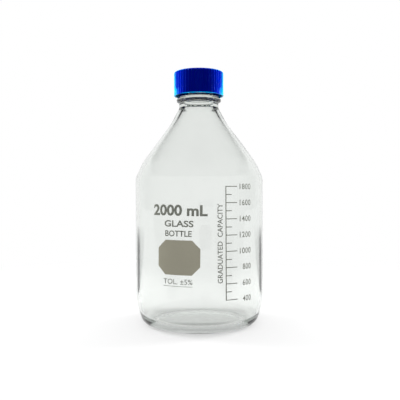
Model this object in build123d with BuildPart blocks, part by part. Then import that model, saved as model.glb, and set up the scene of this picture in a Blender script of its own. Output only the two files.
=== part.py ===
"""Two-litre laboratory media bottle, round, with a 45 mm screw neck.

Four pieces, stacked along the bottle's axis:
  bottle        blown borosilicate glass: punted base, soft heel, conical shoulder, neck bead and thread
  pouring_ring  drip-free plastic ring that snaps over the glass lip
  cap_liner     flat sealing disc that the cap presses onto the ring
  cap           ribbed screw cap with a plain lower band and a matching inner thread

Millimetres, +Z up. The origin is the centre of the foot, on the surface that the bottle stands on.
"""

from build123d import *

import os
from math import atan2, radians, sqrt, tan

# Glass body
body_diameter = 134.0
wall = 3.5
throat_wall = 4.6  # of the upper cone where it meets the neck; it thins to the wall at the bend
base_thickness = 4.0
punt_height = 3.2  # rise of the base's centre over its foot
foot_width = 6.2  # flat ring that the bottle stands on

# Heel: a steep flank between the foot and the wall, rounded at both ends
heel_width = 7.5  # how far the flank's lower end stands in from the wall
heel_height = 25.0
heel_radius = 12.5
heel_blend_radius = 80.0
heel_inner_radius = 14.0

# Shoulder: a flank above the wall and two cones, the upper one steeper, with soft bends between them
shoulder_flank_width = 7.9  # how far the flank's upper end stands in from the wall
shoulder_flank_height = 17.0
neck_diameter = 41.6
neck_length = 33.6  # from the mouth down to where the upper cone would meet the neck
upper_cone_length = 15.4  # along the axis
upper_cone_angle = 27.4  # from the axis
lower_cone_angle = 36.5
shoulder_radius = 14.0  # between the wall and the flank
shoulder_blend_radius = 70.0  # between the flank and the lower cone
bend_radius = 60.0
throat_radius = 6.0
throat_inner_radius = 6.0

# Neck and lip
glass_height = 260.0
bore_diameter = 31.0
bead_depth = 25.5  # of the bead's middle below the mouth
bead_diameter = 46.8
bead_thickness = 5.0
bead_fillet = 1.0
finish_diameter = 42.4  # of the neck above the bead, between the threads
lip_diameter = 40.6
lip_height = 5.2  # from the upper end of the finish to the mouth
lip_round = 1.2
mouth_round = 1.0
groove_depth = 0.5  # undercut that the pouring ring snaps into
groove_height = 1.7
land_chamfer = 0.5

# Thread: round section, right-handed, one start
pitch = 4.0
thread_section_radius = 1.35
thread_standing = 1.25  # how far the glass thread stands out of the finish
thread_depth = 15.6  # of the thread's lower end below the mouth
thread_turns = 1.75
cap_thread_section_radius = 1.1
cap_thread_depth = 1.2  # how far the cap's thread stands in from its bore
cap_thread_start_angle = 270.0  # further along the helix than the glass thread's lower end
cap_thread_turns = 1.75
thread_clearance = 0.12  # between the flanks that carry the load

# Pouring ring
ring_fit = 0.1  # clearance to the glass, on each side
ring_web = 0.8  # thickness over the lip
ring_skirt = 0.6
ring_catch = 1.2  # height of the inward catch
ring_drip_edge = 0.5  # how far the top edge stands out
ring_bore_margin = 0.5  # the ring's opening is wider than the bore by this, on each side

# Sealing disc
liner_thickness = 1.6
liner_diameter = 44.0

# Cap
cap_height = 25.2
cap_top = 2.0  # thickness of its top
cap_diameter = 52.0  # over the ribs and the plain band
cap_bore_diameter = 46.2
cap_band_height = 8.6
cap_mouth_diameter = 48.6  # wider bore at the cap's lower end
cap_mouth_height = 3.8
cap_mouth_chamfer = 0.8
cap_top_round = 2.0
cap_edge_round = 0.4
rib_count = 48
rib_depth = 0.8
rib_width = 1.9  # at the foot of a rib
rib_angle = 70.0  # of a rib's flanks

# Worked out from the above
body_radius = body_diameter / 2
neck_radius = neck_diameter / 2
bore_radius = bore_diameter / 2
finish_radius = finish_diameter / 2
lip_radius = lip_diameter / 2
upper_slope = tan(radians(upper_cone_angle))
lower_slope = tan(radians(lower_cone_angle))
throat_height = glass_height - neck_length
bend_height = throat_height - upper_cone_length
bend_radial = neck_radius + upper_cone_length * upper_slope
flank_radial = body_radius - shoulder_flank_width
flank_top = bend_height - (flank_radial - bend_radial) / lower_slope
shoulder_height = flank_top - shoulder_flank_height
heel_setback = heel_radius * tan(atan2(heel_height, heel_width) / 2)  # of the heel's round from its corner
foot_radius = body_radius - heel_width - heel_setback - foot_width
bead_height = glass_height - bead_depth
bead_centre = (bead_diameter - bead_thickness) / 2
land_height = glass_height - lip_height
liner_bottom = glass_height + ring_web
liner_top = liner_bottom + liner_thickness
cap_upper = liner_top + cap_top
cap_lower = cap_upper - cap_height
cap_radius = cap_diameter / 2
cap_bore_radius = cap_bore_diameter / 2
cap_mouth_radius = cap_mouth_diameter / 2

# The thread's section circles: where their centres run, and how far apart they seat along the axis
thread_start_height = glass_height - thread_depth
thread_path_radius = finish_radius + thread_standing - thread_section_radius
cap_thread_path_radius = cap_bore_radius - cap_thread_depth + cap_thread_section_radius
thread_reach = thread_section_radius + cap_thread_section_radius + thread_clearance
thread_seat = sqrt(thread_reach**2 - (cap_thread_path_radius - thread_path_radius) ** 2)
cap_thread_start_height = thread_start_height - thread_seat + pitch * cap_thread_start_angle / 360


def inset(points, distances):
    """Corners inside a chain of straight segments, each moved to its left by its own distance."""
    lines = []
    for start, end, distance in zip(points[:-1], points[1:], distances):
        along = (Vector(*end) - Vector(*start)).normalized()
        lines.append((Vector(*start) + Vector(-along.Y, along.X) * distance, along))
    corners = []
    for (start, along), (other, across) in zip(lines[:-1], lines[1:]):
        share = (other - start).cross(across).Z / along.cross(across).Z
        corners.append(start + along * share)
    return corners


def dome_radius(rise, half_span):
    """Radius of the sphere that rises by this much over this half span."""
    return (half_span**2 + rise**2) / (2 * rise)


def helix_ridge(section_radius, path_radius, start_height, turns, start_angle):
    """Round ridge along a right-handed helix, with domed ends, added to the part that is being built."""
    with BuildLine() as helix:
        Helix(pitch=pitch, height=pitch * turns, radius=path_radius)
    path = Pos(0, 0, start_height) * Rot(0, 0, start_angle) * helix.line
    with BuildSketch(Plane(origin=path @ 0, z_dir=path % 0)) as section:
        Circle(section_radius)
    sweep(sections=section.sketch, path=path, is_frenet=True)
    with Locations(path @ 0, path @ 1):
        Sphere(section_radius)


# Bottle: one revolved section, then the thread round its finish
outer_corners = [
    (foot_radius, 0),
    (body_radius - heel_width, 0),
    (body_radius, heel_height),
    (body_radius, shoulder_height),
    (flank_radial, flank_top),
    (bend_radial, bend_height),
    (neck_radius, throat_height),
    (neck_radius, bead_height),
]
neck_wall = neck_radius - bore_radius
inner_corners = inset(outer_corners, [base_thickness, wall, wall, wall, wall, wall, neck_wall])
inner_corners[-1:] = inset(outer_corners[-3:], [throat_wall, neck_wall])
floor_rise = base_thickness + punt_height
with BuildPart() as bottle:
    with BuildSketch(Plane.XZ) as section:
        with BuildLine():
            outer = FilletPolyline(
                *outer_corners,
                radius=[
                    heel_radius,
                    heel_blend_radius,
                    shoulder_radius,
                    shoulder_blend_radius,
                    bend_radius,
                    throat_radius,
                ],
            )
            Polyline(
                (neck_radius, bead_height),
                (finish_radius, bead_height),
                (finish_radius, land_height - land_chamfer),
                (finish_radius - land_chamfer, land_height),
                (lip_radius - groove_depth, land_height),
                (lip_radius - groove_depth, land_height + groove_height),
                (lip_radius, land_height + groove_height + groove_depth),
                (lip_radius, glass_height),
                (bore_radius, glass_height),
            )
            inner = FilletPolyline(
                (bore_radius, glass_height),
                *reversed(inner_corners),
                (foot_radius, base_thickness),
                radius=[
                    throat_inner_radius,
                    bend_radius + wall,
                    shoulder_blend_radius - wall,
                    shoulder_radius - wall,
                    heel_blend_radius - wall,
                    heel_inner_radius,
                ],
            )
            RadiusArc((foot_radius, base_thickness), (0, floor_rise), -dome_radius(punt_height, foot_radius))
            Line((0, floor_rise), (0, punt_height))
            RadiusArc((0, punt_height), (foot_radius, 0), dome_radius(punt_height, foot_radius))
        make_face()
        with Locations((bead_centre, bead_height)):
            Circle(bead_thickness / 2)
        bead_roots = section.vertices().filter_by_position(
            Axis.Y, bead_height - bead_thickness, bead_height + bead_thickness
        )
        fillet(bead_roots.filter_by_position(Axis.X, neck_radius - wall, finish_radius + wall / 2), radius=bead_fillet)
        fillet(section.vertices().group_by(Axis.Y)[-1].sort_by(Axis.X)[0], radius=mouth_round)
        fillet(section.vertices().group_by(Axis.Y)[-1].sort_by(Axis.X)[-1], radius=lip_round)
    revolve(axis=Axis.Z)
    helix_ridge(thread_section_radius, thread_path_radius, thread_start_height, thread_turns, 0)
bottle.part.label = "bottle"

# Pouring ring: a flange over the lip, and a skirt whose catch sits in the undercut
flange_radius = lip_radius + ring_fit + ring_skirt
catch_radius = lip_radius - groove_depth + ring_fit
catch_lower = land_height + ring_fit
catch_upper = catch_lower + ring_catch
with BuildPart() as pouring_ring:
    with BuildSketch(Plane.XZ):
        with BuildLine():
            Polyline(
                (bore_radius + ring_bore_margin, glass_height),
                (bore_radius + ring_bore_margin, glass_height + ring_web),
                (flange_radius + ring_drip_edge, glass_height + ring_web),
                (flange_radius, glass_height),
                (flange_radius, catch_lower),
                (catch_radius, catch_lower),
                (catch_radius, catch_upper),
                (lip_radius + ring_fit, catch_upper + groove_depth),
                (lip_radius + ring_fit, glass_height),
                close=True,
            )
        make_face()
    revolve(axis=Axis.Z)
pouring_ring.part.label = "pouring_ring"

# Sealing disc, between the ring's flange and the top of the cap
with BuildPart() as cap_liner:
    with BuildSketch(Plane.XY.offset(liner_bottom)):
        Circle(liner_diameter / 2)
    extrude(amount=liner_thickness)
cap_liner.part.label = "cap_liner"

# Cap: a revolved cup, grooved between the ribs, with the thread inside
with BuildPart() as cap:
    with BuildSketch(Plane.XZ) as section:
        with BuildLine():
            Polyline(
                (0, liner_top),
                (0, cap_upper),
                (cap_radius, cap_upper),
                (cap_radius, cap_lower),
                (cap_mouth_radius, cap_lower),
                (cap_mouth_radius, cap_lower + cap_mouth_height),
                (cap_bore_radius, cap_lower + cap_mouth_height + cap_mouth_chamfer),
                (cap_bore_radius, liner_top),
                close=True,
            )
        make_face()
        fillet(section.vertices().group_by(Axis.Y)[-1].sort_by(Axis.X)[-1], radius=cap_top_round)
        fillet(section.vertices().group_by(Axis.Y)[0], radius=cap_edge_round)
    revolve(axis=Axis.Z)
    with BuildSketch(Plane.XY.offset(cap_lower + cap_band_height)):
        Circle(cap_radius + rib_depth)
        Circle(cap_radius - rib_depth, mode=Mode.SUBTRACT)
        with PolarLocations(cap_radius, rib_count):
            Trapezoid(rib_width, 3 * rib_depth, rib_angle, rotation=-90, mode=Mode.SUBTRACT)
    extrude(amount=cap_height - cap_band_height, mode=Mode.SUBTRACT)
    helix_ridge(
        cap_thread_section_radius,
        cap_thread_path_radius,
        cap_thread_start_height,
        cap_thread_turns,
        cap_thread_start_angle,
    )
cap.part.label = "cap"

os.makedirs("parts", exist_ok=True)
export_step(bottle.part, "parts/bottle.step")
export_step(pouring_ring.part, "parts/pouring_ring.step")
export_step(cap_liner.part, "parts/cap_liner.step")
export_step(cap.part, "parts/cap.step")
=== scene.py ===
"""Looks of a round two-litre media bottle: clear glass, grey enamel print and a blue screw cap."""

from math import acos, atan2, ceil, cos, degrees, hypot, pi, radians, sin, tan

import bpy
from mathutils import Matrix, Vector


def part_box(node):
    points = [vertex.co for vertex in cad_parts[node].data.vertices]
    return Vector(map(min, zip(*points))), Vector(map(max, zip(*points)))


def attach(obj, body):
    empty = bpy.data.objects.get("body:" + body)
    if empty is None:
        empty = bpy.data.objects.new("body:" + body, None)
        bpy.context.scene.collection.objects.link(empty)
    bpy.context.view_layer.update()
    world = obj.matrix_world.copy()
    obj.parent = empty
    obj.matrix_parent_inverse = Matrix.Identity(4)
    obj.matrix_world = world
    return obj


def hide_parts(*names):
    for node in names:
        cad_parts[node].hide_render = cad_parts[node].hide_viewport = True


bl_info = {
    "name": "Media bottle",
    "version": (1, 0, 0),
    "blender": (4, 5, 0),
    "location": "View3D > Sidebar > Bottle",
    "description": "Builds a round media bottle of clear glass with an enamel scale and a blue screw cap",
    "category": "Object",
}

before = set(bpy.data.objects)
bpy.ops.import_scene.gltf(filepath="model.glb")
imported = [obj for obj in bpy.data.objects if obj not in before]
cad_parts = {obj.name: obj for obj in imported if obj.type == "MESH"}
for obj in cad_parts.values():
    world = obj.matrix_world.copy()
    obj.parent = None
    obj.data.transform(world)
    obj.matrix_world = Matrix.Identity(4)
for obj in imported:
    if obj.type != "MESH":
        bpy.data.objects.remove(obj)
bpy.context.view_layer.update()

MM = 0.001
WHITE = (1, 1, 1, 1)
# painted dark: grey of the floor patches and room zones that only glass and gloss see
PAINTED_DARK_GREY = (0.06, 0.06, 0.06, 1)
glass_low, glass_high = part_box("bottle")
cap_low, cap_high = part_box("cap")
ring_low, ring_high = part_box("pouring_ring")
liner_low, liner_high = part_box("cap_liner")


# ---------------------------------------------------------------- sizes and colours


class GlassSettings(bpy.types.PropertyGroup):
    """Sizes of the blown glass body."""

    radius: bpy.props.FloatProperty(
        name="Body radius", description="Outside radius of the straight wall", default=66.90 * MM, unit="LENGTH"
    )
    height: bpy.props.FloatProperty(
        name="Height", description="From the foot to the mouth", default=glass_high.z, unit="LENGTH"
    )
    wall: bpy.props.FloatProperty(
        name="Wall", description="Thickness of the wall and the shoulder", default=3.5 * MM, unit="LENGTH"
    )
    throat_wall: bpy.props.FloatProperty(
        name="Throat wall", description="Thickness just below the neck", default=4.6 * MM, unit="LENGTH"
    )
    base: bpy.props.FloatProperty(
        name="Base", description="Thickness of the base", default=4.0 * MM, unit="LENGTH"
    )
    waviness: bpy.props.FloatProperty(
        name="Waviness", description="Strength of the blown surface's slow waves", default=0.04, min=0, max=1
    )
    tint: bpy.props.FloatVectorProperty(
        name="Tint", description="Colour that a thick stretch of the glass turns to", subtype="COLOR",
        default=(0.60, 0.66, 0.62),
    )
    density: bpy.props.FloatProperty(
        name="Tint density", description="How fast the tint builds up, per metre of glass", default=36.0, min=0
    )


class CapSettings(bpy.types.PropertyGroup):
    """Sizes and colours of the cap, its liner and the pouring ring."""

    ribs: bpy.props.IntProperty(name="Ribs", description="Grip ribs round the cap", default=48, min=3)
    rib_depth: bpy.props.FloatProperty(
        name="Rib depth", description="Height of a rib over its groove", default=0.8 * MM, unit="LENGTH"
    )
    band: bpy.props.FloatProperty(
        name="Band", description="Height of the plain band below the ribs", default=8.6 * MM, unit="LENGTH"
    )
    blue: bpy.props.FloatVectorProperty(
        name="Blue", description="Colour of the cap's plastic", subtype="COLOR", default=(0.0, 0.001, 0.13)
    )
    # painted glow: this colour is painted into the base colour along the cap's lowest rim, in place of light coming
    # through the plastic
    glow: bpy.props.FloatVectorProperty(
        name="Glow", description="Colour of the light that comes through the plastic", subtype="COLOR",
        default=(0.0, 0.45, 1.0),
    )
    # painted sheen: lighter blue painted on the plastic where it is seen at a slant
    flank: bpy.props.FloatVectorProperty(
        name="Flank", description="Colour of the plastic where it is seen at a slant", subtype="COLOR",
        default=(0.0, 0.012, 0.45),
    )
    # painted sheen and glow: azure painted on the plastic at its outline, where light would come through; also the
    # tint of its gloss
    edge: bpy.props.FloatVectorProperty(
        name="Edge", description="Colour of the plastic at its outline", subtype="COLOR", default=(0.0, 0.42, 0.82)
    )


class PrintSettings(bpy.types.PropertyGroup):
    """Sizes and colours of the enamel print."""

    thickness: bpy.props.FloatProperty(
        name="Thickness", description="Height of the enamel over the glass", default=0.05 * MM, unit="LENGTH"
    )
    grey: bpy.props.FloatVectorProperty(
        name="Grey", description="Colour of the letters, numbers and lines", subtype="COLOR",
        default=(0.165, 0.173, 0.148),
    )
    patch: bpy.props.FloatVectorProperty(
        name="Patch", description="Colour of the write-on patch", subtype="COLOR", default=(0.288, 0.275, 0.213)
    )


class StageSettings(bpy.types.PropertyGroup):
    """The camera, the lamps and the floor."""

    distance: bpy.props.FloatProperty(
        name="Camera distance", description="From the bottle's axis", default=620 * MM, unit="LENGTH"
    )
    eye: bpy.props.FloatProperty(
        name="Camera height", description="Above the floor", default=137.2 * MM, unit="LENGTH"
    )
    dip: bpy.props.FloatProperty(
        name="Camera dip", description="Angle below the horizon", default=radians(0.69), unit="ROTATION"
    )
    roll: bpy.props.FloatProperty(
        name="Camera roll", description="Tilt of the frame, clockwise", default=radians(0.25), unit="ROTATION"
    )
    lens: bpy.props.FloatProperty(name="Lens", description="Focal length, in millimetres", default=52.7)
    key: bpy.props.FloatProperty(name="Side light", description="Power of each side lamp, in watts", default=7.0)
    kicker: bpy.props.FloatProperty(name="Kickers", description="Power of the spots on the cap, in watts", default=6.0)
    top: bpy.props.FloatProperty(name="Top light", description="Power of the lamp overhead, in watts", default=3.0)
    fill: bpy.props.FloatProperty(name="Fill light", description="Power of the front lamp, in watts", default=5.0)
    floor_glow: bpy.props.FloatProperty(
        name="Floor glow", description="Brightness that the floor has of its own", default=0.52, min=0
    )
    surround: bpy.props.FloatProperty(
        name="Surround", description="Brightness of the room as a light", default=0.55, min=0
    )


# ---------------------------------------------------------------- shader maths


class Term:
    """One value in a material, wrapped so that sums are written as sums."""

    def __init__(self, finish, socket):
        self.finish = finish
        self.socket = socket

    def _math(self, operation, *values):
        return self.finish.node("ShaderNodeMath", {"operation": operation}, *values)

    def __add__(self, other):
        return self._math("ADD", self, other)

    def __radd__(self, other):
        return self._math("ADD", other, self)

    def __sub__(self, other):
        return self._math("SUBTRACT", self, other)

    def __rsub__(self, other):
        return self._math("SUBTRACT", other, self)

    def __mul__(self, other):
        return self._math("MULTIPLY", self, other)

    def __rmul__(self, other):
        return self._math("MULTIPLY", other, self)

    def clamped(self):
        return self.finish.node("ShaderNodeClamp", {}, self, 0.0, 1.0)


class Finish:
    """The shader of a material or of the world, under construction."""

    def __init__(self, owner, end="ShaderNodeOutputMaterial"):
        owner.use_nodes = True
        self.owner = owner
        self.tree = owner.node_tree
        self.tree.nodes.clear()
        self.end = self.tree.nodes.new(end)

    def node(self, kind, settings, *values, out=0, **named):
        """A node of this kind, with its settings and then the values or links of its sockets."""
        made = self.tree.nodes.new(kind)
        for key, value in settings.items():
            setattr(made, key, value)
        for place, value in enumerate(values):
            self._feed(made.inputs[place], value)
        for key, value in named.items():
            self._feed(made.inputs[key.replace("_", " ")], value)
        return Term(self, made.outputs[out])

    def _feed(self, socket, value):
        if isinstance(value, Term):
            self.tree.links.new(value.socket, socket)
        elif value is not None:
            socket.default_value = value

    def place(self):
        return self.node("ShaderNodeTexCoord", {}, out="Object")

    def noise(self, scale, detail=3.0, roughness=0.5):
        return self.node(
            "ShaderNodeTexNoise", {}, out="Fac", Vector=self.place(), Scale=scale, Detail=detail, Roughness=roughness
        )

    def blend(self, share, first, second):
        mix = self.node("ShaderNodeMix", {"data_type": "RGBA"}, out=2, Factor=share)
        inputs = mix.socket.node.inputs
        self._feed(inputs[6], first)
        self._feed(inputs[7], second)
        return mix

    def between(self, share, first, second):
        mix = self.node("ShaderNodeMix", {"data_type": "VECTOR"}, out=1, Factor=share)
        inputs = mix.socket.node.inputs
        self._feed(inputs[4], first)
        self._feed(inputs[5], second)
        return mix

    def smoothstep(self, value, low, high, first=0.0, last=1.0):
        """Goes smoothly from the first level to the last while the value goes from low to high."""
        return self.node(
            "ShaderNodeMapRange", {"interpolation_type": "SMOOTHSTEP"}, value,
            From_Min=low, From_Max=high, To_Min=first, To_Max=last,
        )

    def bump(self, height, strength, distance):
        return self.node("ShaderNodeBump", {}, Strength=strength, Distance=distance, Height=height)

    def done(self, surface, volume=None):
        self._feed(self.end.inputs["Surface"], surface)
        self._feed(self.end.inputs["Volume"], volume)
        return self.owner


def rgba(colour):
    return (*colour, 1.0)


def shade(colour, factor):
    return tuple(min(1.0, channel * factor) for channel in colour)


def clear_glass(settings):
    """Blown borosilicate glass: clear, with slow waves, and grey-green where it is thick."""
    finish = Finish(bpy.data.materials.new("clear_glass"))
    waves = finish.noise(28.0, 1.5)
    ripples = finish.noise(140.0, 1.0)
    relief = finish.bump(waves * 0.8 + ripples * 0.2, settings.waviness, 0.6 * MM)
    body = finish.node(
        "ShaderNodeBsdfPrincipled",
        {},
        out="BSDF",
        Base_Color=(0.966, 0.973, 0.964, 1.0),
        Roughness=0.0,
        IOR=1.47,
        Transmission_Weight=1.0,
        Normal=relief,
    )
    depth = finish.node("ShaderNodeVolumeAbsorption", {}, rgba(settings.tint), settings.density)
    return finish.done(body, depth)


def blue_plastic(name, settings):
    """Moulded polypropylene: deep blue and satin. The light that would come through its thin edges is painted in: an
    azure glow along the lower rim, and lighter blue and azure sheen where the surface is seen at a slant.
    """
    finish = Finish(bpy.data.materials.new(name))
    clouds = finish.noise(60.0, 3.0)
    grain = finish.noise(2200.0, 2.0)
    colour = finish.blend(clouds, rgba(shade(settings.blue, 0.8)), rgba(shade(settings.blue, 1.2)))
    height = finish.node("ShaderNodeSeparateXYZ", {}, finish.place(), out="Z")
    # painted glow: mask of the lowest millimetre of the cap, where the glow colour is painted in
    rim = finish.smoothstep(height, cap_low.z + 0.2 * MM, cap_low.z + 0.9 * MM, 1.0, 0.0)
    # painted glow: on the plain band the azure outline colour is painted in sooner
    band = finish.smoothstep(height, cap_low.z + 5.0 * MM, cap_low.z + 8.6 * MM, 1.0, 0.0)
    relief = finish.bump(grain * 0.6 + clouds * 0.4, 0.15, 0.05 * MM)

    def layer(colour):
        return finish.node(
            "ShaderNodeBsdfPrincipled",
            {},
            out="BSDF",
            Base_Color=colour,
            Roughness=0.26 + clouds * 0.12,
            IOR=1.49,
            Specular_IOR_Level=0.06,
            Specular_Tint=rgba(settings.edge),
            Normal=relief,
        )

    # painted sheen: the slant is measured from the direction out from the axis, so the ribs don't stripe it, and from
    # the surface's own normal near the top
    flat = finish.node("ShaderNodeVectorMath", {"operation": "MULTIPLY"}, finish.place(), (1, 1, 0), out="Vector")
    outward = finish.node(
        "ShaderNodeVectorTransform", {"vector_type": "NORMAL", "convert_from": "OBJECT", "convert_to": "WORLD"}, flat
    )
    upper = finish.smoothstep(height, cap_high.z - 2.2 * MM, cap_high.z - 0.8 * MM)
    plate = finish.smoothstep(height, cap_high.z - 0.5 * MM, cap_high.z - 0.1 * MM)
    own = finish.node("ShaderNodeNewGeometry", {}, out="Normal")
    around_axis = finish.node("ShaderNodeVectorMath", {"operation": "NORMALIZE"}, outward)
    broad = finish.between(upper, around_axis, own)
    around = finish.node("ShaderNodeLayerWeight", {}, 0.5, broad, out="Facing")
    near = finish.node("ShaderNodeLayerWeight", {}, 0.5, out="Facing")
    # painted sheen and highlight: the slant of the surface to the view picks lighter blue, then azure, as base
    # colours; the top rounding gets a small painted highlight and the top disc stays plain
    slant = (around * 0.8 + around * near * 0.6) * (1.0 - plate * 0.9) + upper * (1.0 - plate) * 0.12
    middle = finish.smoothstep(slant, 0.05, 0.45)
    edge = finish.smoothstep(slant + band * 0.14, 0.56, 1.0)
    deep = layer(finish.blend(rim, colour, rgba(settings.glow)))
    skin = finish.node("ShaderNodeMixShader", {}, middle, deep, layer(rgba(settings.flank)))
    return finish.done(finish.node("ShaderNodeMixShader", {}, edge, skin, layer(rgba(settings.edge))))


def soft_liner():
    """Off-white sealing sheet with a faint mottle."""
    finish = Finish(bpy.data.materials.new("soft_liner"))
    mottle = finish.noise(180.0, 4.0)
    colour = finish.blend(mottle, (0.62, 0.61, 0.57, 1.0), (0.74, 0.73, 0.69, 1.0))
    skin = finish.node(
        "ShaderNodeBsdfPrincipled",
        {},
        out="BSDF",
        Base_Color=colour,
        Roughness=0.5 + mottle * 0.2,
        Normal=finish.bump(mottle, 0.2, 0.1 * MM),
    )
    return finish.done(skin)


def enamel(name, colour):
    """Fired ceramic ink: dull, a little speckled, thinner in places."""
    finish = Finish(bpy.data.materials.new(name))
    speckle = finish.noise(900.0, 3.0)
    drift = finish.noise(45.0, 2.0)
    tone = (speckle * 0.5 + drift * 0.5).clamped()
    skin = finish.node(
        "ShaderNodeBsdfPrincipled",
        {},
        out="BSDF",
        Base_Color=finish.blend(tone, rgba(shade(colour, 0.86)), rgba(shade(colour, 1.14))),
        Roughness=0.42 + speckle * 0.25,
        Normal=finish.bump(speckle, 0.25, 0.03 * MM),
    )
    return finish.done(skin)


# ---------------------------------------------------------------- modelling tools


def start():
    """Object mode with nothing selected."""
    if bpy.context.object and bpy.context.object.mode != "OBJECT":
        bpy.ops.object.mode_set(mode="OBJECT")
    bpy.ops.object.select_all(action="DESELECT")


def only(*objects):
    start()
    for one in objects:
        one.select_set(True)
    bpy.context.view_layer.objects.active = objects[0]


def rounded(corners, radii, step=4.0):
    """Points of a line through these corners, each inner corner rounded; a radius of 0 keeps it sharp."""
    line = [Vector(corners[0])]
    for before, corner, after, radius in zip(corners, corners[1:], corners[2:], radii):
        corner = Vector(corner)
        back = (Vector(before) - corner).normalized()
        ahead = (Vector(after) - corner).normalized()
        if radius == 0:
            line.append(corner)
            continue
        half = acos(max(-1.0, min(1.0, back.dot(ahead)))) / 2
        first = corner + back * radius / tan(half)
        last = corner + ahead * radius / tan(half)
        centre = corner + (back + ahead).normalized() * radius / sin(half)
        turn = atan2(*(first - centre).yx)
        sweep = (atan2(*(last - centre).yx) - turn + pi) % (2 * pi) - pi
        cuts = max(2, ceil(abs(degrees(sweep)) / step))
        for cut in range(cuts + 1):
            angle = turn + sweep * cut / cuts
            line.append(centre + radius * Vector((cos(angle), sin(angle))))
    line.append(Vector(corners[-1]))
    return line


def turned(name, line, steps=192, closed=False):
    """A shape turned on the vertical axis from a line of (radius, height) points."""
    start()
    bpy.ops.mesh.primitive_plane_add(size=2 * MM, location=(line[0].x, 0, line[0].y))
    piece = bpy.context.object
    piece.name = piece.data.name = name
    bpy.ops.object.transform_apply(location=True)
    bpy.ops.object.mode_set(mode="EDIT")
    bpy.ops.mesh.select_mode(type="VERT")
    bpy.ops.mesh.merge(type="CENTER")
    loop = line + [line[0]] if closed else line
    for here, there in zip(loop, loop[1:]):
        bpy.ops.mesh.extrude_region_move(
            TRANSFORM_OT_translate={"value": (there.x - here.x, 0, there.y - here.y)}
        )
    bpy.ops.mesh.select_all(action="SELECT")
    bpy.ops.mesh.remove_doubles(threshold=0.001 * MM)
    bpy.ops.mesh.spin(steps=steps, angle=2 * pi, center=(0, 0, 0), axis=(0, 0, 1))
    bpy.ops.mesh.select_all(action="SELECT")
    bpy.ops.mesh.remove_doubles(threshold=0.001 * MM)
    bpy.ops.mesh.normals_make_consistent(inside=False)
    bpy.ops.object.mode_set(mode="OBJECT")
    return piece


def helix_ridge(name, radius, section, base, turns, pitch, start_angle=0.0, sides=20):
    """A round ridge along a right-handed helix, closed at its ends by domes."""
    start()
    bpy.ops.mesh.primitive_circle_add(
        vertices=sides, radius=section, location=(radius, 0, base), rotation=(pi / 2, 0, 0)
    )
    ridge = bpy.context.object
    ridge.name = ridge.data.name = name
    bpy.ops.object.transform_apply(location=True, rotation=True)
    screw = ridge.modifiers.new("turns", "SCREW")
    screw.angle = 2 * pi * turns
    screw.screw_offset = pitch * turns
    screw.steps = screw.render_steps = int(96 * turns)
    screw.iterations = 1
    bpy.ops.object.modifier_apply(modifier="turns")
    bpy.ops.object.mode_set(mode="EDIT")
    bpy.ops.mesh.select_all(action="DESELECT")
    bpy.ops.mesh.select_mode(type="EDGE")
    bpy.ops.mesh.select_non_manifold()
    bpy.ops.mesh.edge_face_add()
    bpy.ops.mesh.select_all(action="SELECT")
    bpy.ops.mesh.normals_make_consistent(inside=False)
    bpy.ops.object.mode_set(mode="OBJECT")
    domes = []
    for share in (0.0, 1.0):
        angle = 2 * pi * turns * share
        start()
        bpy.ops.mesh.primitive_uv_sphere_add(
            segments=sides + 4,
            ring_count=sides // 2 + 3,
            radius=section * 0.999,
            location=(radius * cos(angle), radius * sin(angle), base + pitch * turns * share),
        )
        bpy.ops.object.transform_apply(location=True)
        domes.append(bpy.context.object)
    for dome in domes:
        unite(ridge, dome)
    if start_angle:
        only(ridge)
        ridge.rotation_euler.z = start_angle
        bpy.ops.object.transform_apply(rotation=True)
    return ridge


def unite(piece, other):
    """Joins a second closed shape to the first and removes it."""
    only(piece)
    joint = piece.modifiers.new("union", "BOOLEAN")
    joint.operation = "UNION"
    joint.solver = "EXACT"
    joint.object = other
    bpy.ops.object.modifier_apply(modifier="union")
    bpy.data.objects.remove(other)


def smooth(piece, angle=35.0):
    only(piece)
    bpy.ops.object.shade_smooth_by_angle(angle=radians(angle))


def finished(piece, body, slot, material, *nodes):
    """Gives a piece its material and its body, and hides the nodes that it stands for; the slot is not used."""
    piece.data.materials.clear()
    piece.data.materials.append(material)
    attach(piece, body)
    if nodes:
        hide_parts(*nodes)
    return piece


# ---------------------------------------------------------------- glass body


def inset(points, distances):
    """Corners inside a chain of straight stretches, each moved to its left by its own distance."""
    lines = []
    for begin, end, distance in zip(points, points[1:], distances):
        along = (Vector(end) - Vector(begin)).normalized()
        lines.append((Vector(begin) + Vector((-along.y, along.x)) * distance, along))
    corners = []
    for (begin, along), (other, across) in zip(lines, lines[1:]):
        offset = other - begin
        share = (offset.x * across.y - offset.y * across.x) / (along.x * across.y - along.y * across.x)
        corners.append(begin + along * share)
    return corners


def dome(radius, rise, base, cuts=14):
    """Points of a shallow dome from its rim to its top."""
    sphere = (radius**2 + rise**2) / (2 * rise)
    points = []
    for cut in range(cuts + 1):
        across = radius * (1 - cut / cuts)
        points.append(Vector((across, base + rise - sphere + (sphere**2 - across**2) ** 0.5)))
    return points


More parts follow.
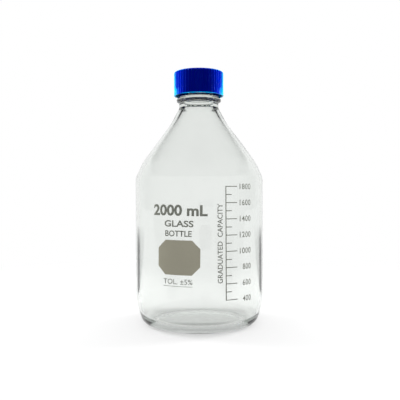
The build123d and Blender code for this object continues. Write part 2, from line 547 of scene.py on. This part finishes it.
class BOTTLE_OT_glass(bpy.types.Operator):
    """Turn the glass body in one piece and add the thread to its neck"""

    bl_idname = "bottle.glass"
    bl_label = "Glass body"

    def execute(self, context):
        sizes = context.scene.bottle_glass
        neck, finish, lip, bore = 20.8 * MM, 21.2 * MM, 20.3 * MM, 15.5 * MM
        mouth = sizes.height
        throat = mouth - 33.6 * MM
        bend = throat - 15.4 * MM
        bend_radial = neck + 15.4 * MM * tan(radians(27.4))
        flank_radial = sizes.radius - 7.9 * MM
        flank_top = bend - (flank_radial - bend_radial) / tan(radians(36.5))
        foot = 44.0 * MM
        rise = 3.2 * MM
        land = mouth - 5.2 * MM
        outer = [
            (foot, 0),
            (sizes.radius - 7.5 * MM, 0),
            (sizes.radius, 25 * MM),
            (sizes.radius, flank_top - 17.0 * MM),
            (flank_radial, flank_top),
            (bend_radial, bend),
            (neck, throat),
            (neck, mouth - 25.5 * MM - 3.4 * MM),
        ]
        wall = sizes.wall
        inner = inset(outer, [sizes.base, wall, wall, wall, wall, wall, neck - bore])
        inner[-1:] = inset(outer[-3:], [sizes.throat_wall, neck - bore])
        bead_middle = mouth - 25.5 * MM
        bead = [
            outer[-1],
            (neck, bead_middle - 2.5 * MM),
            (23.4 * MM, bead_middle - 2.5 * MM),
            (23.4 * MM, bead_middle + 2.5 * MM),
            (finish, bead_middle + 2.5 * MM),
            (finish, bead_middle + 3.6 * MM),
        ]
        lip_line = [
            bead[-1],
            (finish, land),
            (lip - 0.5 * MM, land),
            (lip - 0.5 * MM, land + 1.7 * MM),
            (lip, land + 2.2 * MM),
            (lip, mouth),
            (bore, mouth),
            (bore, mouth - 4 * MM),
        ]
        inside = [(bore, mouth - 4 * MM), *[tuple(c) for c in reversed(inner)], (foot, sizes.base)]
        line = dome(foot, rise, 0)[::-1]
        line += rounded(outer, [12.5 * MM, 80 * MM, 14 * MM, 70 * MM, 60 * MM, 6 * MM])[1:]
        line += rounded(bead, [0.9 * MM, 2.45 * MM, 2.45 * MM, 0.9 * MM], step=12)[1:]
        line += rounded(lip_line, [0.5 * MM, 0.15 * MM, 0.15 * MM, 0.2 * MM, 1.2 * MM, 1.0 * MM], step=15)[1:]
        line += rounded(inside, [6 * MM, 63.5 * MM, 66.5 * MM, 10.5 * MM, 76.5 * MM, 14 * MM])[1:]
        line += dome(foot, rise, sizes.base)[1:]
        body = turned("glass_body", line, steps=192)
        thread = helix_ridge("glass_thread", 21.1 * MM, 1.35 * MM, mouth - 15.6 * MM, 1.75, 4 * MM)
        unite(body, thread)
        smooth(body, 40)
        finished(body, "vessel", "glass", clear_glass(sizes), "bottle")
        return {"FINISHED"}


# ---------------------------------------------------------------- cap, liner and pouring ring


class BOTTLE_OT_cap(bpy.types.Operator):
    """Shape the cap: ribs over a plain band, a hollow with a stepped mouth, and the thread inside"""

    bl_idname = "bottle.cap"
    bl_label = "Cap"

    def execute(self, context):
        sizes = context.scene.bottle_cap
        radius = cap_high.x
        low, high = cap_low.z, cap_high.z
        bore, mouth = 23.1 * MM, 24.3 * MM
        cups = [
            (0, high),
            (radius, high),
            (radius, low + sizes.band),
            (radius, low),
            (mouth, low),
            (mouth, low + 3.8 * MM),
            (bore, low + 4.6 * MM),
            (bore, high - 2 * MM),
            (0, high - 2 * MM),
        ]
        line = rounded(cups, [2.0 * MM, 0, 0.4 * MM, 0.4 * MM, 0.3 * MM, 0.3 * MM, 0.5 * MM], step=12)
        per_rib = 8
        cap = turned("screw_cap", line, steps=sizes.ribs * per_rib)
        self.groove(cap, sizes, radius, low + sizes.band, per_rib)
        thread = helix_ridge(
            "cap_thread", 23.0 * MM, 1.1 * MM, cap_low.z + 6.47 * MM, 1.75, 4 * MM, start_angle=-pi / 2
        )
        unite(cap, thread)
        smooth(cap, 28)
        finished(cap, "cap", "cap_plastic", blue_plastic("blue_plastic", sizes), "cap")
        return {"FINISHED"}

    @staticmethod
    def groove(cap, sizes, radius, band_top, per_rib):
        """Draws the grooves in between the ribs, ring by ring, down to a small step above the band."""
        only(cap)
        bpy.ops.object.mode_set(mode="EDIT")
        bpy.ops.mesh.select_mode(type="VERT")
        bpy.ops.mesh.select_all(action="DESELECT")
        bpy.ops.object.mode_set(mode="OBJECT")
        shares = (0.0, 0.0, 0.35, 1.0, 1.0, 1.0, 0.35, 0.0)
        rings = {}
        for vertex in cap.data.vertices:
            across = hypot(vertex.co.x, vertex.co.y)
            if across < radius - 2.2 * MM or vertex.co.z < band_top - 0.01 * MM:
                continue
            place = round(atan2(vertex.co.y, vertex.co.x) / (2 * pi) * sizes.ribs * per_rib) % per_rib
            if across > radius - sizes.rib_depth * shares[place] + 0.0001 * MM:
                rings.setdefault((shares[place], round(across / MM, 3)), []).append(vertex.index)
        for (share, across), ring in sorted(rings.items()):
            for index in ring:
                cap.data.vertices[index].select = True
            scale = max(across * MM - sizes.rib_depth * share, radius - sizes.rib_depth) / (across * MM)
            bpy.ops.object.mode_set(mode="EDIT")
            bpy.ops.transform.resize(value=(scale, scale, 1), center_override=(0, 0, 0))
            bpy.ops.mesh.select_all(action="DESELECT")
            bpy.ops.object.mode_set(mode="OBJECT")


class BOTTLE_OT_liner(bpy.types.Operator):
    """Cut the sealing disc that lies in the cap"""

    bl_idname = "bottle.liner"
    bl_label = "Liner"

    def execute(self, context):
        low, high, radius = liner_low.z, liner_high.z, liner_high.x
        edge = [(0, low), (radius, low), (radius, high), (0, high)]
        liner = turned("sealing_disc", rounded(edge, [0.25 * MM, 0.25 * MM], step=20), steps=96)
        smooth(liner)
        finished(liner, "liner", "liner", soft_liner(), "cap_liner")
        return {"FINISHED"}


class BOTTLE_OT_pouring_ring(bpy.types.Operator):
    """Turn the drip-free ring that snaps over the lip"""

    bl_idname = "bottle.pouring_ring"
    bl_label = "Pouring ring"

    def execute(self, context):
        sizes = context.scene.bottle_cap
        low, high = ring_low.z, ring_high.z
        seat = glass_high.z
        corners = [
            (18.0 * MM, seat),
            (16.0 * MM, seat),
            (16.0 * MM, high),
            (21.5 * MM, high),
            (21.0 * MM, seat),
            (21.0 * MM, low),
            (19.9 * MM, low),
            (19.9 * MM, low + 1.2 * MM),
            (20.4 * MM, low + 1.7 * MM),
            (20.4 * MM, seat),
            (18.0 * MM, seat),
        ]
        soft = 0.15 * MM
        line = rounded(corners, [0.3 * MM, 0.3 * MM, soft, soft, soft, soft, soft, soft, 0], step=20)[:-1]
        ring = turned("pouring_ring_moulded", line, steps=128, closed=True)
        smooth(ring, 30)
        finished(ring, "vessel", "ring_plastic", blue_plastic("ring_plastic", sizes), "pouring_ring")
        return {"FINISHED"}


# ---------------------------------------------------------------- enamel print


def wrapped(piece, radius, thickness, strip=1.6 * MM):
    """Bends flat art, drawn as (arc length, height), round the wall and gives it its thickness."""
    only(piece)
    bpy.ops.object.transform_apply(location=True, rotation=True, scale=True)
    xs = [vertex.co.x for vertex in piece.data.vertices]
    bpy.ops.object.mode_set(mode="EDIT")
    for cut in range(ceil(min(xs) / strip), ceil(max(xs) / strip)):
        bpy.ops.mesh.select_all(action="SELECT")
        bpy.ops.mesh.bisect(plane_co=(cut * strip, 0, 0), plane_no=(1, 0, 0))
    bpy.ops.mesh.select_all(action="SELECT")
    bpy.ops.mesh.remove_doubles(threshold=0.002 * MM)
    bpy.ops.object.mode_set(mode="OBJECT")
    piece.rotation_euler.x = pi / 2
    bpy.ops.object.transform_apply(rotation=True)
    bend = piece.modifiers.new("bend", "SIMPLE_DEFORM")
    bend.deform_method = "BEND"
    bend.deform_axis = "Z"
    bend.angle = (max(xs) - min(xs)) / radius
    bpy.ops.object.modifier_apply(modifier="bend")
    piece.location.y = -radius
    bpy.ops.object.transform_apply(location=True)
    coat = piece.modifiers.new("coat", "SOLIDIFY")
    coat.thickness = thickness
    coat.offset = 1.0
    bpy.ops.object.modifier_apply(modifier="coat")
    return piece


def drawn_text(name, words, box, bold=0.0, upright=False, spacing=1.0):
    """Flat lettering that fills a box given as (left, bottom, right, top) on the unrolled wall."""
    start()
    bpy.ops.object.text_add(location=(0, 0, 0))
    piece = bpy.context.object
    piece.name = name
    piece.data.body = words
    piece.data.size = 10 * MM
    piece.data.offset = bold * MM
    piece.data.space_character = spacing
    piece.data.resolution_u = 4
    piece.data.fill_mode = "BOTH"
    bpy.ops.object.convert(target="MESH")
    piece = bpy.context.object
    if upright:
        piece.rotation_euler.z = pi / 2
        bpy.ops.object.transform_apply(rotation=True)
    xs = [vertex.co.x for vertex in piece.data.vertices]
    ys = [vertex.co.y for vertex in piece.data.vertices]
    left, bottom, right, top = box
    piece.scale = ((right - left) / (max(xs) - min(xs)), (top - bottom) / (max(ys) - min(ys)), 1)
    piece.location = (left - min(xs) * piece.scale.x, bottom - min(ys) * piece.scale.y, 0)
    bpy.ops.object.transform_apply(location=True, scale=True)
    return piece


def drawn_bar(name, left, bottom, right, top):
    start()
    bpy.ops.mesh.primitive_plane_add(size=1, location=((left + right) / 2, (bottom + top) / 2, 0))
    piece = bpy.context.object
    piece.name = name
    piece.scale = (right - left, top - bottom, 1)
    bpy.ops.object.transform_apply(location=True, scale=True)
    return piece


def joined(name, pieces):
    only(*pieces)
    if len(pieces) > 1:
        bpy.ops.object.join()
    piece = bpy.context.object
    piece.name = piece.data.name = name
    return piece


def tilted(piece, angle, about):
    """Turns flat art clockwise about a point on the unrolled wall."""
    only(piece)
    slope, along = sin(angle), cos(angle)
    across, up = about
    piece.rotation_euler.z = -angle
    piece.location = (across - across * along - up * slope, up + across * slope - up * along, 0)
    bpy.ops.object.transform_apply(location=True, rotation=True)
    return piece


class BOTTLE_OT_print(bpy.types.Operator):
    """Draw the enamel print flat and bend it round the wall"""

    bl_idname = "bottle.print"
    bl_label = "Enamel print"

    def execute(self, context):
        ink = context.scene.bottle_print
        radius = context.scene.bottle_glass.radius

        def arc(angle):
            return radians(angle) * radius

        grey = enamel("grey_enamel", ink.grey)
        taupe = enamel("taupe_enamel", ink.patch)
        middle = (arc(-17.6), 85 * MM)
        tilt = radians(1.0)
        plain = [
            ("capacity_mark", "2000 mL", (-41.6, 115.4, 6.4, 126.2), 0.33),
            ("plain_words_upper", "GLASS", (-30.2, 104.9, -5.0, 111.2), 0.24),
            ("plain_words_lower", "BOTTLE", (-29.4, 95.7, -6.4, 101.5), 0.20),
            ("tolerance_mark", "TOL. ±5%", (-30.6, 50.2, -5.2, 55.2), 0.05),
        ]
        for name, words, (left, bottom, right, top), bold in plain:
            box = (arc(left), bottom * MM, arc(right), top * MM)
            piece = tilted(drawn_text(name, words, box, bold), tilt, middle)
            self.lay(piece, radius, ink, grey)
        line = tilted(drawn_bar("write_on_line", arc(-31), 48.0 * MM, arc(-5.2), 48.4 * MM), tilt, middle)
        self.lay(line, radius, ink, grey)
        self.lay(tilted(self.patch(arc), tilt, middle), radius, ink, taupe)
        self.lay(self.scale_lines(arc), radius, ink, grey)
        self.lay(self.scale_numbers(arc), radius, ink, grey)
        box = (arc(15.0), 51 * MM, arc(19.5), 127 * MM)
        legend = drawn_text("scale_legend", "GRADUATED  CAPACITY", box, 0.13, upright=True)
        self.lay(legend, radius, ink, grey)
        return {"FINISHED"}

    @staticmethod
    def lay(piece, radius, ink, material):
        finished(wrapped(piece, radius, ink.thickness), "vessel", "glass", material)

    @staticmethod
    def patch(arc):
        """A block of enamel with its corners cut off, for writing on."""
        left, right = arc(-36.0), arc(0.9)
        bottom, top = 59.0 * MM, 92.3 * MM
        corner = 8.0 * MM
        piece = drawn_bar("write_on_patch", left, bottom, right, top)
        bpy.ops.object.mode_set(mode="EDIT")
        for across, up in ((left, bottom), (right, bottom), (right, top), (left, top)):
            inward_x = 1 if across == left else -1
            inward_y = 1 if up == bottom else -1
            bpy.ops.mesh.select_all(action="SELECT")
            bpy.ops.mesh.bisect(
                plane_co=(across + inward_x * corner, up, 0),
                plane_no=(-inward_x, -inward_y, 0),
                use_fill=False,
                clear_outer=True,
            )
        bpy.ops.object.mode_set(mode="OBJECT")
        return piece

    @staticmethod
    def height(volume):
        """Height of a volume's mark, in metres."""
        return (34.6 + (volume - 400) * 0.0777) * MM

    def scale_lines(self, arc):
        stroke = 0.8 * MM
        left = arc(22.4)
        low, high = self.height(400), self.height(1800)
        bars = [drawn_bar("stem", left - 0.5 * MM, low - stroke / 2, left + 0.5 * MM, high + stroke / 2)]
        for volume in range(400, 1801, 100):
            right = arc(33.1 if volume % 200 == 0 else 27.8)
            middle = self.height(volume)
            bars.append(drawn_bar("mark", left + 0.5 * MM, middle - stroke / 2, right, middle + stroke / 2))
        return joined("scale_lines", bars)

    def scale_numbers(self, arc):
        numbers = []
        for volume in range(400, 1801, 200):
            left = arc(35.8 if volume >= 1000 else 38.9)
            middle = self.height(volume)
            box = (left, middle - 2.8 * MM, arc(48.8), middle + 2.8 * MM)
            numbers.append(drawn_text("number", str(volume), box, 0.12, spacing=1.1))
        return joined("scale_numbers", numbers)


# ---------------------------------------------------------------- stage


def aimed(lamp, power, target):
    """Points a lamp at its target and keeps the lamp itself out of glass and mirrors."""
    lamp.data.energy = power
    lamp.visible_glossy = False
    lamp.visible_transmission = False
    lamp.rotation_euler = (target - lamp.location).to_track_quat("-Z", "Y").to_euler()


class BOTTLE_OT_stage(bpy.types.Operator):
    """Set up the floor, the lamps, the room and the camera"""

    bl_idname = "bottle.stage"
    bl_label = "Stage"

    def execute(self, context):
        stage = context.scene.bottle_stage
        self.floor(stage)
        self.room(context.scene, stage)
        self.lamps(stage)
        self.camera(context.scene, stage)
        context.scene.view_settings.view_transform = "Standard"
        return {"FINISHED"}

    @staticmethod
    def floor(stage):
        start()
        bpy.ops.mesh.primitive_grid_add(x_subdivisions=8, y_subdivisions=8, size=12, location=(0, 0, 0))
        floor = bpy.context.object
        floor.name = "floor"
        finish = Finish(bpy.data.materials.new("pale_floor"))
        rays = finish.node("ShaderNodeLightPath", {})
        outputs = rays.socket.node.outputs
        seen = Term(finish, outputs["Is Camera Ray"]) + Term(finish, outputs["Is Glossy Ray"])
        seen = (seen + Term(finish, outputs["Is Transmission Ray"])).clamped()
        paint = finish.node("ShaderNodeBsdfDiffuse", {}, (0.3, 0.3, 0.3, 1))
        white = finish.node("ShaderNodeEmission", {}, WHITE, 1.0)
        glow = finish.node("ShaderNodeEmission", {}, WHITE, stage.floor_glow)
        reach = finish.node("ShaderNodeVectorMath", {"operation": "LENGTH"}, finish.place(), out="Value")
        far = finish.smoothstep(reach, 0.15, 0.6)
        near = finish.node("ShaderNodeAddShader", {}, paint, glow)
        # painted dark refraction and reflection: dim patches of floor, seen only through a few glass walls near the
        # bottle off its axes, and by mirror rays in front, lay dark streaks into the glass
        mirrored = Term(finish, outputs["Is Glossy Ray"]) * Term(finish, outputs["Is Reflection Ray"])
        crossings = Term(finish, outputs["Transmission Depth"])
        few = finish.node("ShaderNodeMath", {"operation": "LESS_THAN"}, crossings, 2.5)
        totals = few * Term(finish, outputs["Is Transmission Ray"])
        close = finish.smoothstep(reach, 0.8, 2.2, 1.0, 0.0)
        clear_of_foot = finish.smoothstep(reach, 0.15, 0.24, 0.25, 1.0)
        axes = finish.node("ShaderNodeSeparateXYZ", {}, finish.place()).socket.node.outputs
        across = finish.node("ShaderNodeMath", {"operation": "ABSOLUTE"}, Term(finish, axes["X"]))
        along = finish.node("ShaderNodeMath", {"operation": "ABSOLUTE"}, Term(finish, axes["Y"]))
        askew = 1.0
        for one, other in ((across, along), (along, across)):
            askew = askew * finish.smoothstep(one - other * 0.45, 0.05, 0.08)
        front = finish.smoothstep(Term(finish, axes["Y"]), -0.25, -0.10, 1.0, 0.0)
        # painted dark: share of the dim patch, eased near the foot
        dull = totals * close * clear_of_foot * askew + front * mirrored
        painted_dark_patch = finish.node("ShaderNodeEmission", {}, PAINTED_DARK_GREY, 1.0)
        lit = finish.node("ShaderNodeMixShader", {}, far, near, white)
        lit = finish.node("ShaderNodeMixShader", {}, dull, lit, painted_dark_patch)
        floor.data.materials.append(finish.done(finish.node("ShaderNodeMixShader", {}, seen, paint, lit)))

    @staticmethod
    def room(scene, stage):
        finish = Finish(bpy.data.worlds.new("room"), "ShaderNodeOutputWorld")
        rays = finish.node("ShaderNodeLightPath", {}).socket.node.outputs
        glossy = Term(finish, rays["Is Glossy Ray"])
        mirrored = glossy * Term(finish, rays["Is Reflection Ray"])
        clear = (Term(finish, rays["Is Camera Ray"]) + Term(finish, rays["Is Transmission Ray"]) + glossy).clamped()
        toward = finish.node("ShaderNodeSeparateXYZ", {}, finish.node("ShaderNodeTexCoord", {}, out="Generated"))
        toward = toward.socket.node.outputs
        # painted dark reflection: gloss sees a dim room overhead, and mirror rays see it in front, while the camera
        # sees white and diffuse light the even surround
        overhead = finish.smoothstep(Term(finish, toward["Z"]), 0.42, 0.55)
        front = finish.smoothstep(Term(finish, toward["Y"]), 0.2, 0.7, 1.0, 0.0)
        painted_dark_reflection = (overhead * glossy + front * mirrored).clamped()
        white = finish.node("ShaderNodeBackground", {}, WHITE, 1.0)
        dim = finish.node("ShaderNodeBackground", {}, PAINTED_DARK_GREY, 1.0)
        light = finish.node("ShaderNodeBackground", {}, WHITE, stage.surround)
        seen = finish.node("ShaderNodeMixShader", {}, painted_dark_reflection, white, dim)
        scene.world = finish.done(finish.node("ShaderNodeMixShader", {}, clear, light, seen))

    @staticmethod
    def lamps(stage):
        aim = Vector((0, 0, 140 * MM))
        for name, place, size, power in (
            ("left_softbox", (-0.55, 0.22, 0.25), (0.25, 0.7), stage.key),
            ("right_softbox", (0.55, 0.22, 0.25), (0.25, 0.7), stage.key),
            ("top_softbox", (0.0, 0.05, 0.85), (0.7, 0.7), stage.top),
            ("front_fill", (0.0, -0.95, 0.55), (0.5, 0.5), stage.fill),
        ):
            start()
            bpy.ops.object.light_add(type="AREA", location=place)
            lamp = bpy.context.object
            lamp.name = name
            lamp.data.shape = "RECTANGLE"
            lamp.data.size, lamp.data.size_y = size
            aimed(lamp, power, aim)
        cap = (cap_low + cap_high) / 2
        for name, place in (("left_kicker", (-0.45, 0.16, 0.27)), ("right_kicker", (0.45, 0.16, 0.27))):
            start()
            bpy.ops.object.light_add(type="SPOT", location=place)
            lamp = bpy.context.object
            lamp.name = name
            lamp.data.spot_size = radians(12)
            lamp.data.spot_blend = 0.4
            lamp.data.shadow_soft_size = 0.03
            aimed(lamp, stage.kicker, cap)

    @staticmethod
    def camera(scene, stage):
        start()
        bpy.ops.object.camera_add(
            location=(0.0008, -stage.distance, stage.eye), rotation=(pi / 2 - stage.dip, 0, 0)
        )
        camera = bpy.context.object
        camera.name = "camera"
        bpy.ops.transform.rotate(
            value=stage.roll, orient_axis="Z", orient_type="LOCAL", center_override=camera.location
        )
        camera.data.lens = stage.lens
        camera.data.sensor_width = 36
        camera.data.clip_start = 0.01
        scene.camera = camera


# ---------------------------------------------------------------- panel and registration


class BOTTLE_PT_panel(bpy.types.Panel):
    """Buttons that build the bottle, piece by piece"""

    bl_idname = "BOTTLE_PT_panel"
    bl_label = "Media bottle"
    bl_space_type = "VIEW_3D"
    bl_region_type = "UI"
    bl_category = "Bottle"

    def draw(self, context):
        for operator in OPERATORS:
            self.layout.operator(operator.bl_idname)


GROUPS = {
    "bottle_glass": GlassSettings,
    "bottle_cap": CapSettings,
    "bottle_print": PrintSettings,
    "bottle_stage": StageSettings,
}
OPERATORS = (
    BOTTLE_OT_stage,
    BOTTLE_OT_glass,
    BOTTLE_OT_pouring_ring,
    BOTTLE_OT_liner,
    BOTTLE_OT_cap,
    BOTTLE_OT_print,
)


def register():
    for group in GROUPS.values():
        bpy.utils.register_class(group)
    for operator in OPERATORS:
        bpy.utils.register_class(operator)
    bpy.utils.register_class(BOTTLE_PT_panel)
    for name, group in GROUPS.items():
        setattr(bpy.types.Scene, name, bpy.props.PointerProperty(type=group))


def unregister():
    for name in GROUPS:
        delattr(bpy.types.Scene, name)
    bpy.utils.unregister_class(BOTTLE_PT_panel)
    for operator in reversed(OPERATORS):
        bpy.utils.unregister_class(operator)
    for group in reversed(GROUPS.values()):
        bpy.utils.unregister_class(group)


def main():
    register()
    bpy.ops.bottle.stage()
    bpy.ops.bottle.glass()
    bpy.ops.bottle.pouring_ring()
    bpy.ops.bottle.liner()
    bpy.ops.bottle.cap()
    bpy.ops.bottle.print()


if __name__ == "__main__":
    main()
